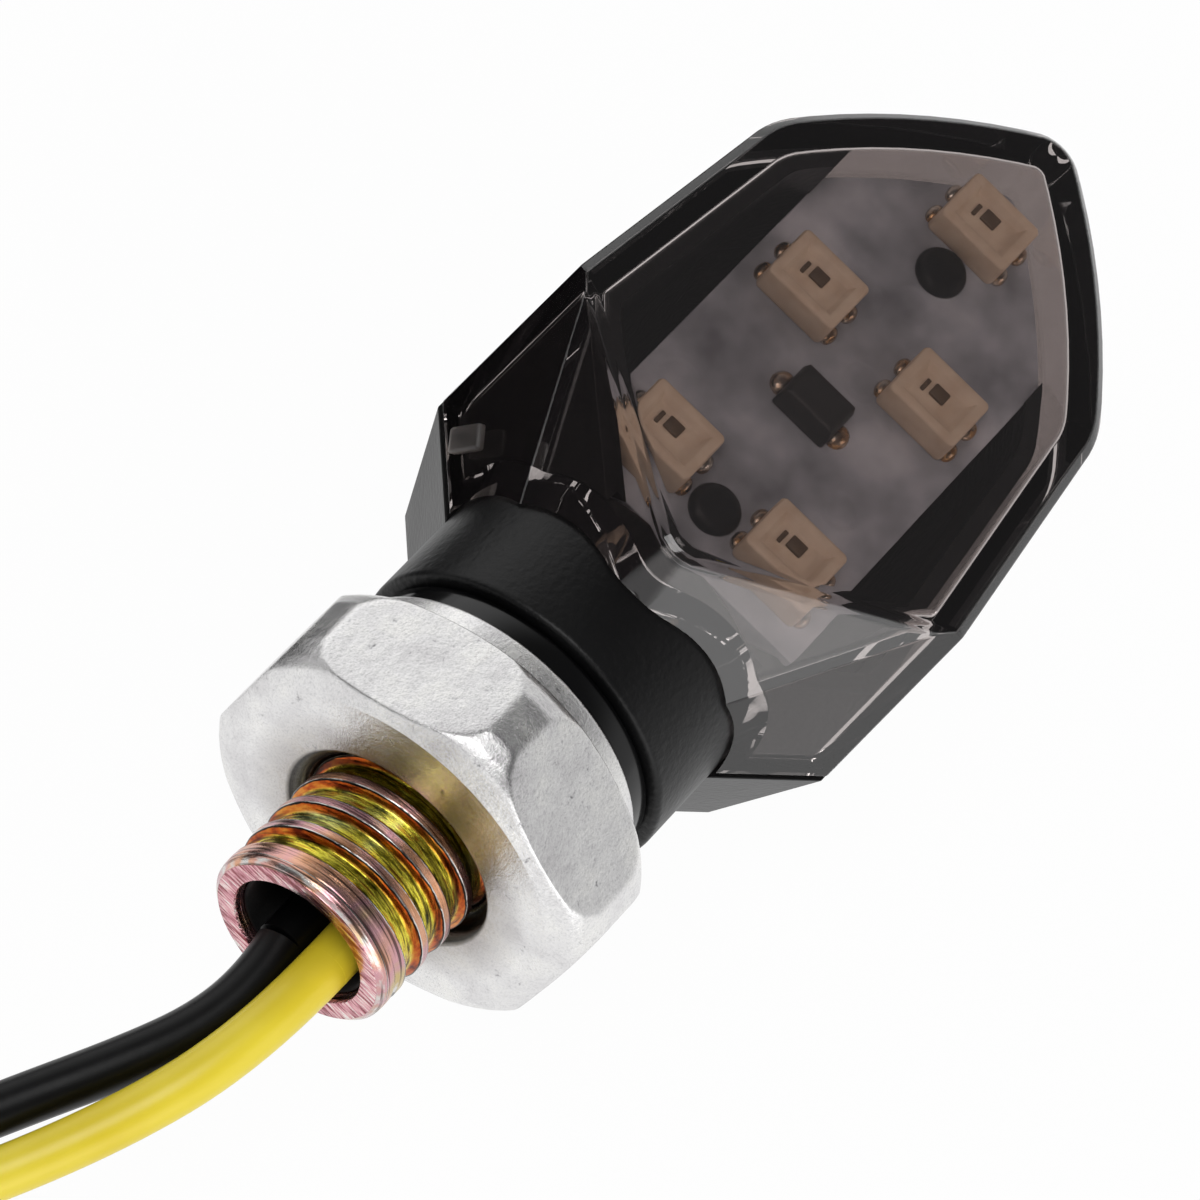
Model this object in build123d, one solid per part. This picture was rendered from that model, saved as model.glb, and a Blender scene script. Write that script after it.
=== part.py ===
from build123d import *
from math import cos, pi, radians, tan
import os

# Motorcycle turn signal with a smoked arrowhead lens on a short hollow mounting stud.
# The pieces are drawn in the lamp's own coordinates: X runs along the stud from its free end
# towards the lamp's tip, Z is the way the lens faces, and the stud's axis is Y = Z = 0.
# build_all() then moves them so that the origin is the middle of the lamp's footprint, on the
# surface that it lies on.

# ---- mounting stud ----
STUD_RADIUS = 4.0            # M8
STUD_BORE_RADIUS = 2.9
STUD_CHAMFER = 0.36
STUD_LENGTH = 17.0
STUD_FLANGE_RADIUS = 5.6
STUD_FLANGE_THICKNESS = 1.6
STUD_FIT = 0.03              # moulded round the stud

# ---- nut and washer ----
NUT_ACROSS_FLATS = 16.0
NUT_START = 5.6              # from the stud's free end
NUT_THICKNESS = 5.4
NUT_FACE_RADIUS = 7.45
NUT_EDGE_BEVEL = 0.35        # depth of the flat bevel at each face
NUT_CORNER_BEVEL = 1.9       # depth at which the rounded corners reach full width
NUT_THREAD_CLEARANCE = 0.05
NUT_MOUTH_RADIUS = 4.75
WASHER_RADIUS = 7.0
WASHER_HOLE_RADIUS = 4.2
WASHER_THICKNESS = 1.2

# ---- stem ----
STEM_RADIUS = 7.1
NECK_RADIUS = 6.6
NECK_LENGTH = 1.2
STEM_EDGE = 0.35
STEM_LENGTH = 8.0            # from the seat to the end wall inside the lamp

# ---- lamp outline, from the seat that the washer bears on ----
LAMP_START = 5.5             # where the flanks leave the stem
NEAR_CORNER = 9.1
SHOULDER = 12.8
FAR_CORNER = 24.0
TIP = 33.85
NEAR_HALF_WIDTH = 10.5
SHOULDER_HALF_WIDTH = 10.45
FAR_HALF_WIDTH = 9.22
TIP_BULGE = 0.72             # rise of the two curved edges that meet at the tip
TIP_ROUND = 2.1
FAR_ROUND = 4.5               # at the two far corners
CORNER_ROUND = 0.5

# ---- lens ----
SEAM_HEIGHT = 0.5            # above the stud's axis
FACE_HEIGHT = 9.4
LENS_WALL = 1.3
LENS_DRAFT = 1.5             # degrees
FACE_EDGE = 0.4              # bevel round the face
NOSE_HALF_WIDTH = 5.3        # the flanks run on to here, above the stem
RIDGE_START = 6.2            # near end of the ridge on the face, from the seat
RIDGE_SLOPE = 0.663          # how fast the ridge runs back with width
UPPER_FACET_SLOPE = 0.8      # run per rise
LOWER_FACET_SLOPE = 0.449
STEM_GAP = 0.15              # between the stem and the lens's notch
GATE_SIDE = 8.8              # stub of the moulding gate, across the stem
GATE_HEIGHT = 1.9
GATE_LENGTH = 2.2
GATE_WIDTH = 1.2
GATE_RISE = 0.25

# ---- rear housing ----
BACK_DEPTH = 9.24            # below the stud's axis
BACK_TAPER = 12.5            # degrees
BACK_EDGE = 0.9
FLANK_OVERLAP = 0.2          # how far the housing's flanks run on into the stem
HOUSING_WALL = 1.8
SEAL_THICKNESS = 0.3
SEAL_WIDTH = 0.9
SEAL_INSET = 0.35
WIRE_WINDOW_WIDTH = 9.6
WIRE_WINDOW_HEIGHT = 4.4

# ---- circuit board and what it carries ----
BOARD_DROP = 4.0             # from the lens's face down to the board
BOARD_THICKNESS = 1.2
BOARD_START = 8.9            # from the seat
BOARD_HALF_WIDTH = 6.0
BOARD_TAPER_START = 25.4
BOARD_TIP_HALF_WIDTH = 1.3
BOARD_END = 30.9
POST_STATIONS = (10.9, 26.6)
POST_RADIUS = 0.85
POST_BOSS_RADIUS = 1.3
POST_HEAD_RADIUS = 1.1
POST_HEAD_HEIGHT = 0.45
POST_HOLE_CLEARANCE = 0.08
LED_WIDTH = 3.5
LED_LENGTH = 2.8
LED_HEIGHT = 1.8
LED_DISH_RADIUS = 1.2
LED_DISH_DEPTH = 0.5
LED_HALF_SPACING = 3.3
LED_NEAR = 11.4              # from the seat
LED_MIDDLE = 21.3
LED_TIP = 29.2
DIODE_STATION = 17.4
DIODE_SIZE = (2.0, 2.7, 1.2)
RESISTOR_STATION = 20.5
RESISTOR_SIDE = 3.0
RESISTOR_SIZE = (1.6, 3.2, 0.6)

# ---- wires ----
WIRE_RADIUS = 1.0
YELLOW_SEAT = (-1.4, 0.15)   # across and up from the stud's axis, where the wires leave the stud
BLACK_SEAT = (0.35, -0.95)
WIRE_SEAL_START = 8.0
WIRE_SEAL_LENGTH = 4.0
JOINT_STATION = 15.3         # solder joints, from the seat
JOINT_SIDE = 3.9
LEAD_TAIL = 4.2              # straight end of each lead, along the board
BEND_SHARE = 0.45            # of the shorter run, taken by each rounded corner
COIL_OUTER_RADIUS = 14.4
COIL_INNER_RADIUS = 4.8
COIL_LEAD_IN = 8.0

CUT = 120.0                  # larger than the lamp, for trimming blocks
FLOOR = (Align.CENTER, Align.CENTER, Align.MIN)
DOWN = (Align.CENTER, Align.CENTER, Align.MAX)
AHEAD = (Align.MIN, Align.CENTER, Align.MIN)

SEAT = NUT_START + NUT_THICKNESS + WASHER_THICKNESS
BOARD_TOP = FACE_HEIGHT - BOARD_DROP
BOARD_BOTTOM = BOARD_TOP - BOARD_THICKNESS
RIM_HEIGHT = SEAM_HEIGHT - SEAL_THICKNESS / 2
LENS_BASE = SEAM_HEIGHT + SEAL_THICKNESS / 2

# Control points of the two wires from the stud's mouth to their coils.
YELLOW_ROUTE = [
    (0, *YELLOW_SEAT), (-4.6, *YELLOW_SEAT), (-10.45, 0.32, -2.07), (-17.0, 3.74, -5.6),
    (-23.0, 6.02, -8.24), (-29.4, 7.62, -8.24),
]
BLACK_ROUTE = [
    (0, *BLACK_SEAT), (-5.0, *BLACK_SEAT), (-11.6, 3.4, -4.45), (-18.0, 6.55, -5.94),
    (-25.3, 9.92, -6.24), (-32.3, 9.92, -6.24),
]


def along_x(radius, start, length):
    return Plane.YZ.offset(start) * extrude(Circle(radius), length)


def flank_run():
    """How fast the flanks beside the stem run back with width."""
    return (NEAR_CORNER - LAMP_START) / (NEAR_HALF_WIDTH - STEM_RADIUS)


def outline(inset=0.0, start_width=STEM_RADIUS):
    """The lamp seen from the front: straight flanks and two curved edges that meet at the tip."""
    start = SEAT + LAMP_START - flank_run() * (STEM_RADIUS - start_width)
    near = SEAT + NEAR_CORNER
    shoulder, far, tip = SEAT + SHOULDER, SEAT + FAR_CORNER, SEAT + TIP
    middle = Vector((far + tip) / 2, FAR_HALF_WIDTH / 2, 0)
    across = Vector(FAR_HALF_WIDTH, tip - far, 0).normalized()
    crown = middle + across * TIP_BULGE
    left = [
        Line((start, start_width), (near, NEAR_HALF_WIDTH)),
        Line((near, NEAR_HALF_WIDTH), (shoulder, SHOULDER_HALF_WIDTH)),
        Line((shoulder, SHOULDER_HALF_WIDTH), (far, FAR_HALF_WIDTH)),
        ThreePointArc((far, FAR_HALF_WIDTH), crown, (tip, 0)),
    ]
    right = [mirror(edge, Plane.XZ) for edge in left]
    closing = Line((start, start_width), (start, -start_width))
    face = make_face(Curve() + left + right + [closing])
    if inset:
        face = offset(face, -inset, kind=Kind.INTERSECTION)
    return Face(face.face().outer_wire())


def soft_outline(inset=0.0, start_width=STEM_RADIUS):
    """The outline with its tip and its other corners rounded, except the two by the stem."""
    face = outline(inset, start_width)
    *corners, tip = face.vertices().sort_by(Axis.X)[2:]
    face = fillet(tip, TIP_ROUND)
    for at, radius in zip(corners, (CORNER_ROUND,) * 4 + (FAR_ROUND,) * 2):
        corner = min(face.vertices(), key=lambda v: v.distance_to(at))
        face = fillet(corner, radius)
    return Face(face.face().outer_wire())


def stacked(section, levels):
    """A solid with straight sides between sections, each level given as (height, inset)."""
    return loft([Pos(0, 0, height) * section(inset) for height, inset in levels], ruled=True)


def facet_plane(reach, slope, run_back, base_height, side, depth=0.0):
    """The plane x = reach + run_back * |y| + slope * (z - base_height), sunk by depth."""
    across = Vector(run_back, side, 0).normalized()
    inward = across.cross(Vector(slope, 0, 1)).normalized()
    inward = inward if inward.X > 0 else -inward
    return Plane(Vector(reach, 0, base_height) + inward * depth, x_dir=across, z_dir=inward)


def upper_facet(side, depth=0.0):
    """The broad facet between the ridge on the face and the top of the stem."""
    ridge = SEAT + RIDGE_START
    return facet_plane(ridge, UPPER_FACET_SLOPE, RIDGE_SLOPE, FACE_HEIGHT, side, depth)


def lower_facet(side, depth=0.0):
    """The facet that rises from the flank beside the stem."""
    reach = SEAT + LAMP_START - flank_run() * STEM_RADIUS
    return facet_plane(reach, LOWER_FACET_SLOPE, flank_run(), SEAM_HEIGHT, side, depth)


def cut_facets(body, depth=0.0):
    """The body without what lies in front of the two pairs of facets, sunk by depth."""
    for side in (1, -1):
        for facet in (upper_facet, lower_facet):
            body -= facet(side, depth) * Box(CUT, CUT, CUT, align=DOWN)
    return body


def build_lens():
    """A drafted shell with a bevelled face, facets and a notch by the stem, and a gate stub."""
    shoulder, roof = FACE_HEIGHT - FACE_EDGE, FACE_HEIGHT - LENS_WALL
    draft = tan(radians(LENS_DRAFT))
    drawn_in = (shoulder - LENS_BASE) * draft
    form = stacked(lambda inset: soft_outline(inset, NOSE_HALF_WIDTH),
                   [(LENS_BASE, 0), (shoulder, drawn_in), (FACE_HEIGHT, drawn_in + FACE_EDGE)])
    floor = LENS_BASE - LENS_WALL
    hollow = stacked(lambda inset: outline(inset, NOSE_HALF_WIDTH),
                     [(floor, LENS_WALL), (roof, LENS_WALL + (roof - floor) * draft)])
    shell = cut_facets(form) - cut_facets(hollow, LENS_WALL)
    shell -= along_x(STEM_RADIUS + STEM_GAP, 0, SEAT + STEM_LENGTH + STEM_GAP)
    facet = lower_facet(1)
    spot = facet.intersect(Axis((0, GATE_SIDE, GATE_HEIGHT), (1, 0, 0)))
    stub = Plane(spot, x_dir=facet.x_dir, z_dir=facet.z_dir)
    stub *= Pos(0, 0, -GATE_RISE)
    return shell + stub * Box(GATE_WIDTH, GATE_LENGTH, GATE_RISE * 2, align=FLOOR)


def build_lens_seal():
    """A bead between the lens and the housing, broken where the stem passes under it."""
    bead = outline(SEAL_INSET) - outline(SEAL_INSET + SEAL_WIDTH)
    bead = Pos(0, 0, RIM_HEIGHT) * extrude(bead, SEAL_THICKNESS)
    return bead - along_x(STEM_RADIUS + STEM_GAP, 0, SEAT + STEM_LENGTH + STEM_GAP)


def stud_form(fit=0.0):
    """The stud's outside with its anchoring flange, grown by fit."""
    shank = along_x(STUD_RADIUS + fit, 0, STUD_LENGTH + fit)
    start = STUD_LENGTH - STUD_FLANGE_THICKNESS - fit
    return shank + along_x(STUD_FLANGE_RADIUS + fit, start, STUD_LENGTH + fit - start)


def build_hollow_stud():
    body = stud_form() - along_x(STUD_BORE_RADIUS, -1, STUD_LENGTH + 2)
    rim = body.edges().filter_by(GeomType.CIRCLE).sort_by(Axis.X).group_by(Axis.X)[0].sort_by(SortBy.RADIUS)
    return chamfer(rim[-1], STUD_CHAMFER)


def build_rear_housing():
    """One black moulding: stem, tapered back shell and the staked posts that hold the board."""
    flanks = STEM_RADIUS - FLANK_OVERLAP
    taper = tan(radians(BACK_TAPER))
    edge, floor = BACK_EDGE - BACK_DEPTH, HOUSING_WALL - BACK_DEPTH
    drawn_in = (RIM_HEIGHT - edge) * taper
    body = stacked(lambda inset: soft_outline(inset, flanks),
                   [(RIM_HEIGHT, 0), (edge, drawn_in), (-BACK_DEPTH, drawn_in + BACK_EDGE)])
    stem = along_x(STEM_RADIUS, SEAT + NECK_LENGTH, STEM_LENGTH - NECK_LENGTH)
    body += chamfer(stem.faces().sort_by(Axis.X)[0].edges(), STEM_EDGE)
    body += along_x(NECK_RADIUS, SEAT, NECK_LENGTH + STEM_EDGE)
    end_wall = SEAT + STEM_LENGTH
    hollow = stacked(lambda inset: outline(inset, flanks),
                     [(RIM_HEIGHT, HOUSING_WALL), (floor, HOUSING_WALL + (RIM_HEIGHT - floor) * taper)])
    body -= hollow & Pos(end_wall, 0, -CUT / 2) * Box(CUT, CUT, CUT, align=AHEAD)
    for station in POST_STATIONS:
        body += Pos(SEAT + station, 0, 0) * build_post(floor - FLANK_OVERLAP)
    body -= stud_form(STUD_FIT)
    window = Box(end_wall - STUD_LENGTH + 1, WIRE_WINDOW_WIDTH, WIRE_WINDOW_HEIGHT, align=AHEAD)
    return body - Pos(STUD_LENGTH, 0, -WIRE_WINDOW_HEIGHT / 2) * window


def build_post(floor):
    """A boss from the floor with a pin through the board, its end melted into a head."""
    boss = Pos(0, 0, floor) * Cylinder(POST_BOSS_RADIUS, BOARD_BOTTOM - floor, align=FLOOR)
    pin = Pos(0, 0, floor) * Cylinder(POST_RADIUS, BOARD_TOP + POST_HEAD_HEIGHT - floor, align=FLOOR)
    head = Pos(0, 0, BOARD_TOP) * Cylinder(POST_HEAD_RADIUS, POST_HEAD_HEIGHT, align=FLOOR)
    head = chamfer(head.edges().sort_by(Axis.Z)[-1], POST_HEAD_HEIGHT * 0.7)
    return boss + pin + head


def build_circuit_board():
    left = [(BOARD_START, BOARD_HALF_WIDTH), (BOARD_TAPER_START, BOARD_HALF_WIDTH),
            (BOARD_END, BOARD_TIP_HALF_WIDTH)]
    corners = left + [(x, -y) for x, y in reversed(left)]
    shape = Plane.XY * make_face(Polyline(corners, close=True))
    board = Pos(SEAT, 0, BOARD_BOTTOM) * extrude(shape, BOARD_THICKNESS, dir=(0, 0, 1))
    for station in POST_STATIONS:
        hole = Cylinder(POST_RADIUS + POST_HOLE_CLEARANCE, BOARD_THICKNESS + 1, align=FLOOR)
        board -= Pos(SEAT + station, 0, BOARD_BOTTOM - 0.5) * hole
    return board


def build_led(station, side):
    """A surface-mounted LED: a square-cornered cup with a round dish."""
    cup = Box(LED_LENGTH, LED_WIDTH, LED_HEIGHT, align=FLOOR)
    cup -= Pos(0, 0, LED_HEIGHT - LED_DISH_DEPTH) * Cylinder(LED_DISH_RADIUS, LED_HEIGHT, align=FLOOR)
    return Pos(SEAT + station, side * LED_HALF_SPACING, BOARD_TOP) * cup


def build_chip(size, station, side, height, align):
    chip = Box(*size, align=align)
    return Pos(SEAT + station, side, height) * chip


def build_washer():
    start = NUT_START + NUT_THICKNESS
    disc = along_x(WASHER_RADIUS, start, WASHER_THICKNESS)
    return disc - along_x(WASHER_HOLE_RADIUS, start - 1, WASHER_THICKNESS + 2)


def build_hex_nut():
    """A hexagon cut to a barrel profile, so that its faces are round and its corners soft."""
    corner = NUT_ACROSS_FLATS / 2 / cos(pi / 6)
    prism = Plane.YZ.offset(NUT_START) * extrude(RegularPolygon(corner, 6, rotation=90), NUT_THICKNESS)
    flat = NUT_ACROSS_FLATS / 2
    half = [(0, 0), (0, NUT_FACE_RADIUS), (NUT_EDGE_BEVEL, flat), (NUT_CORNER_BEVEL, corner + 0.01)]
    other = [(NUT_THICKNESS - x, r) for x, r in reversed(half)]
    barrel = revolve(make_face(Polyline(half + other, close=True)), Axis.X)
    nut = prism & Pos(NUT_START, 0, 0) * barrel
    bore = STUD_RADIUS + NUT_THREAD_CLEARANCE
    nut -= along_x(bore, NUT_START - 1, NUT_THICKNESS + 2)
    mouth = NUT_MOUTH_RADIUS - bore
    rims = [e for e in nut.edges().filter_by(GeomType.CIRCLE) if abs(e.radius - bore) < 1e-4]
    return chamfer(rims, mouth)


def build_lead(seat, side):
    """A wire inside the lamp, from the stud's mouth to its joint under the board."""
    out, height = side * JOINT_SIDE, BOARD_BOTTOM - WIRE_RADIUS
    start, end = SEAT + STEM_LENGTH, SEAT + JOINT_STATION
    return sweep_wire([(0, *seat), (start, *seat), (end - LEAD_TAIL, out, height), (end, out, height)])


def sweep_wire(points, report=None):
    """A round wire along straight runs joined by arcs as large as the runs allow."""
    radii = []
    for before, corner, after in zip(points, points[1:], points[2:]):
        run_in, run_out = Vector(corner) - Vector(before), Vector(after) - Vector(corner)
        half_turn = radians(run_in.get_angle(run_out)) / 2
        radii.append(BEND_SHARE * min(run_in.length, run_out.length) / tan(half_turn))
    if report:
        print(report, "bend radii", [round(radius, 1) for radius in radii])
    path = FilletPolyline(*points, radius=radii)
    section = Plane(path @ 0, z_dir=path % 0) * Circle(WIRE_RADIUS)
    return sweep(section, path=path)


def build_wire_seal():
    """A plug in the stud's bore, moulded round both wires."""
    plug = along_x(STUD_BORE_RADIUS, WIRE_SEAL_START, WIRE_SEAL_LENGTH)
    for seat in (YELLOW_SEAT, BLACK_SEAT):
        plug -= Pos(0, *seat) * along_x(WIRE_RADIUS, 0, STUD_LENGTH)
    return plug


def build_solder_joint(side):
    """A blob on the board's underside that the end of a lead is sunk against."""
    blob = Cone(WIRE_RADIUS * 0.8, WIRE_RADIUS * 1.3, WIRE_RADIUS * 2, align=DOWN)
    return Pos(SEAT + JOINT_STATION + WIRE_RADIUS * 1.3, side * JOINT_SIDE, BOARD_BOTTOM) * blob


def build_coil(route):
    """The outer shape of a neat flat coil wound to the left, with the straight stretch that leads in."""
    ahead = Vector(route[-1]) - Vector(route[-2])
    ring = Cylinder(COIL_OUTER_RADIUS, WIRE_RADIUS * 2) - Cylinder(COIL_INNER_RADIUS, WIRE_RADIUS * 4)
    ring = Pos(COIL_LEAD_IN, COIL_OUTER_RADIUS - WIRE_RADIUS, 0) * ring
    return Plane(route[-1], x_dir=ahead, z_dir=(0, 0, 1)) * (ring + along_x(WIRE_RADIUS, 0, COIL_LEAD_IN))


def build_all():
    """Every piece by name, moved to the middle of the lamp's footprint on the surface."""
    nodes = {
        "rear_housing": build_rear_housing(),
        "lens": build_lens(),
        "lens_seal": build_lens_seal(),
        "circuit_board": build_circuit_board(),
        "led_near_left": build_led(LED_NEAR, 1),
        "led_near_right": build_led(LED_NEAR, -1),
        "led_middle_left": build_led(LED_MIDDLE, 1),
        "led_middle_right": build_led(LED_MIDDLE, -1),
        "led_tip": build_led(LED_TIP, 0),
        "diode": build_chip(DIODE_SIZE, DIODE_STATION, 0, BOARD_TOP, FLOOR),
        "resistor_left": build_chip(RESISTOR_SIZE, RESISTOR_STATION, RESISTOR_SIDE, BOARD_BOTTOM, DOWN),
        "resistor_right": build_chip(RESISTOR_SIZE, RESISTOR_STATION, -RESISTOR_SIDE, BOARD_BOTTOM, DOWN),
        "hollow_stud": build_hollow_stud(),
        "wire_seal": build_wire_seal(),
        "washer": build_washer(),
        "hex_nut": build_hex_nut(),
        "yellow_lead": build_lead(YELLOW_SEAT, -1),
        "black_lead": build_lead(BLACK_SEAT, 1),
        "yellow_solder_joint": build_solder_joint(-1),
        "black_solder_joint": build_solder_joint(1),
        "yellow_wire": sweep_wire(YELLOW_ROUTE, "yellow wire"),
        "black_wire": sweep_wire(BLACK_ROUTE, "black wire"),
        "yellow_coil": build_coil(YELLOW_ROUTE),
        "black_coil": build_coil(BLACK_ROUTE),
    }
    length = soft_outline().bounding_box().max.X
    place = Pos(-length / 2, 0, BACK_DEPTH)
    print("overall length", round(length, 3))
    return {name: place * solid for name, solid in nodes.items()}


os.makedirs("parts", exist_ok=True)
for node, solid in build_all().items():
    export_step(solid, f"parts/{node}.step")
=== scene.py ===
"""Small LED turn signal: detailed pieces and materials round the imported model, run as a script."""

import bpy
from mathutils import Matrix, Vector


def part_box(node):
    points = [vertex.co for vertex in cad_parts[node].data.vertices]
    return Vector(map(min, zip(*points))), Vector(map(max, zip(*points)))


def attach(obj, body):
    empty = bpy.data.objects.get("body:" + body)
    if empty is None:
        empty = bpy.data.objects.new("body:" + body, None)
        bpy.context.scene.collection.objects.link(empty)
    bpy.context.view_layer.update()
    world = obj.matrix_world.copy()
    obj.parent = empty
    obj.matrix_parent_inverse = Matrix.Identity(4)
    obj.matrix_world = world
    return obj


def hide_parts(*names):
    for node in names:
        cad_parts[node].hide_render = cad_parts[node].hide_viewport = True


bl_info = {
    "name": "Motorcycle Turn Signal",
    "version": (1, 0, 0),
    "blender": (4, 5, 0),
    "location": "View3D > Sidebar > Turn Signal",
    "description": "Builds the detailed pieces of a small LED turn signal round its packed model",
    "category": "Object",
}

from functools import cache, partial
from itertools import combinations
from math import cos, pi, radians, sin

import bmesh
import bpy
import numpy as np
from bpy.props import FloatProperty, FloatVectorProperty, IntProperty, PointerProperty
from mathutils import Matrix, Vector

MM = 0.001
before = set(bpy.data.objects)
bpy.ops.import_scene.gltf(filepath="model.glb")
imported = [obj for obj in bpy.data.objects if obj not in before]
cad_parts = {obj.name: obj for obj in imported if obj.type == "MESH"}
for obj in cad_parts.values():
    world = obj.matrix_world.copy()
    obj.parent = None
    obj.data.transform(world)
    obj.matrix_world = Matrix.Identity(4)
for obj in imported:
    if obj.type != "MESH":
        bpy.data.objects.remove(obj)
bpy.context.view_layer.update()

# The pieces are worked out in the lamp's own millimetres: X runs along the stud from its free end
# towards the tip, Z is the way the lens faces, and Y = Z = 0 is the stud's axis.
STUD_LOW, STUD_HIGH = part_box("hollow_stud")
AXIS_START = np.array([STUD_LOW.x, (STUD_LOW.y + STUD_HIGH.y) / 2, (STUD_LOW.z + STUD_HIGH.z) / 2])


def lamp_box(name):
    """A CAD node's lowest and highest corners in the lamp's millimetres."""
    return [(np.array(corner) - AXIS_START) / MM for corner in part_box(name)]


NUT_FRONT, NUT_BACK = lamp_box("hex_nut")[0][0], lamp_box("hex_nut")[1][0]
SEAT = lamp_box("washer")[1][0]
SURFACE = -AXIS_START[2] / MM
BOARD_TOP = lamp_box("circuit_board")[1][2]
SEAM = lamp_box("lens")[0][2]
FACE = lamp_box("lens")[1][2]
STUD_END = lamp_box("hollow_stud")[1][0]
STUD_RADIUS = 4.0
BORE_RADIUS = 2.9
STEM_END = SEAT + 8.0
STEM_RADIUS = 7.1
NECK_END = SEAT + 1.28
POSTS = (SEAT + 10.9, SEAT + 26.6)


# ---------------------------------------------------------------- helpers for meshes

def placed(points):
    """Points from the lamp's millimetres to the frame's metres."""
    return np.asarray(points, float) * MM + AXIS_START


def link(name, data, body="lamp"):
    """A new object in the scene, riding on a body."""
    piece = bpy.data.objects.new(name, data)
    bpy.context.scene.collection.objects.link(piece)
    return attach(piece, body)


def mesh_from(name, points, faces):
    """A mesh of points in the lamp's millimetres, shaded smooth."""
    mesh = bpy.data.meshes.new(name)
    mesh.from_pydata(placed(points).tolist(), [], faces)
    turned_out = bmesh.new()
    turned_out.from_mesh(mesh)
    bmesh.ops.recalc_face_normals(turned_out, faces=turned_out.faces)
    turned_out.to_mesh(mesh)
    turned_out.free()
    mesh.polygons.foreach_set("use_smooth", np.ones(len(mesh.polygons), bool))
    return mesh


def grid_faces(rows, columns, closed_rows, first=0):
    """Quads between neighbours of a grid whose columns close on themselves."""
    row = np.arange(rows if closed_rows else rows - 1)[:, None]
    column = np.arange(columns)[None, :]
    after, beside = (row + 1) % rows, (column + 1) % columns
    corners = [row * columns + column, row * columns + beside, after * columns + beside,
               after * columns + column]
    return first + np.stack(np.broadcast_arrays(*corners), -1).reshape(-1, 4)


def surface(name, grid, body="lamp", closed_rows=False, caps=False, values=None):
    """A piece from a grid of points: rows along a profile, columns round a closed loop.

    Open rows may be capped, which closes the first and the last loop with one face each. Values are
    numbers for the points, which a material reads by their name."""
    rows, columns = grid.shape[:2]
    faces = grid_faces(rows, columns, closed_rows).tolist()
    if caps:
        faces.append(list(range(columns))[::-1])
        faces.append(list(range((rows - 1) * columns, rows * columns)))
    mesh = mesh_from(name, grid.reshape(-1, 3), faces)
    for key, value in (values or {}).items():
        mesh.attributes.new(key, "FLOAT", "POINT").data.foreach_set("value", value.astype(np.float32).ravel())
    return link(name, mesh, body)


def many(name, grids):
    """One piece of the lamp from several capped grids."""
    points, faces = [], []
    for grid in grids:
        first = sum(len(p) for p in points)
        rows, columns = grid.shape[:2]
        faces += grid_faces(rows, columns, False, first).tolist()
        faces.append((first + np.arange(columns)[::-1]).tolist())
        faces.append((first + (rows - 1) * columns + np.arange(columns)).tolist())
        points.append(grid.reshape(-1, 3))
    return link(name, mesh_from(name, np.concatenate(points), faces))


def full_turn(count):
    """Evenly spaced angles once round, as one row."""
    return np.linspace(0, 2 * pi, count, endpoint=False)[None, :]


def about_axis(x, r, a):
    """Points round the stud's axis: (x, r cos a, r sin a)."""
    return np.stack([x + 0 * a, r * np.cos(a), r * np.sin(a)], -1)


def turned(profile, count):
    """A profile of (x, radius) carried round the stud's axis."""
    x, r = np.asarray(profile, float).T[:, :, None]
    return about_axis(x, r, full_turn(count))


def eased(profile, width, steps=3):
    """A profile whose corners are short quadratic curves, which begin and end width from the corner."""
    p = np.asarray(profile, float)
    before, corner, after = p[:-2], p[1:-1], p[2:]
    run_in, run_out = corner - before, after - corner
    length_in = np.linalg.norm(run_in, axis=1, keepdims=True)
    length_out = np.linalg.norm(run_out, axis=1, keepdims=True)
    w = np.minimum(width, 0.45 * np.minimum(length_in, length_out))
    a, b = corner - run_in / length_in * w, corner + run_out / length_out * w
    t = np.linspace(0, 1, steps + 1)[None, :, None]
    curve = a[:, None] * (1 - t) ** 2 + corner[:, None] * 2 * t * (1 - t) + b[:, None] * t ** 2
    return np.concatenate([p[:1], curve.reshape(-1, 2), p[-1:]])


def smooth_least(a, b, radius):
    """The lesser of two values, with a parabola over the stretch where they are within radius."""
    h = np.clip(0.5 + 0.5 * (b - a) / radius, 0, 1)
    return b * (1 - h) + a * h - radius * h * (1 - h)


def rectangle(x, y, z):
    """The corners of a level rectangle between two values of x and two of y."""
    return np.array([(x[0], y[0], z), (x[1], y[0], z), (x[1], y[1], z), (x[0], y[1], z)], float)


def rounded_rectangle(length, width, corner, count):
    """A closed loop: each corner a quarter circle, the sides straight between them."""
    a = (np.arange(count) + 0.5) * 2 * pi / count
    quarter = np.floor(a / (pi / 2)) * pi / 2 + pi / 4
    centre = np.stack([np.sign(np.cos(quarter)) * (length / 2 - corner),
                       np.sign(np.sin(quarter)) * (width / 2 - corner)], -1)
    return centre + corner * np.stack([np.cos(a), np.sin(a)], -1)


def block(length, width, corner, profile, x, y, z, count=32):
    """A rounded rectangle carried up a profile of (inset, height)."""
    rows = []
    for inset, height in profile:
        loop = rounded_rectangle(length - 2 * inset, width - 2 * inset, max(corner - inset, 0.02), count)
        rows.append(np.c_[loop, np.full(count, height)])
    return np.stack(rows) + np.array([x, y, z])


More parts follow.
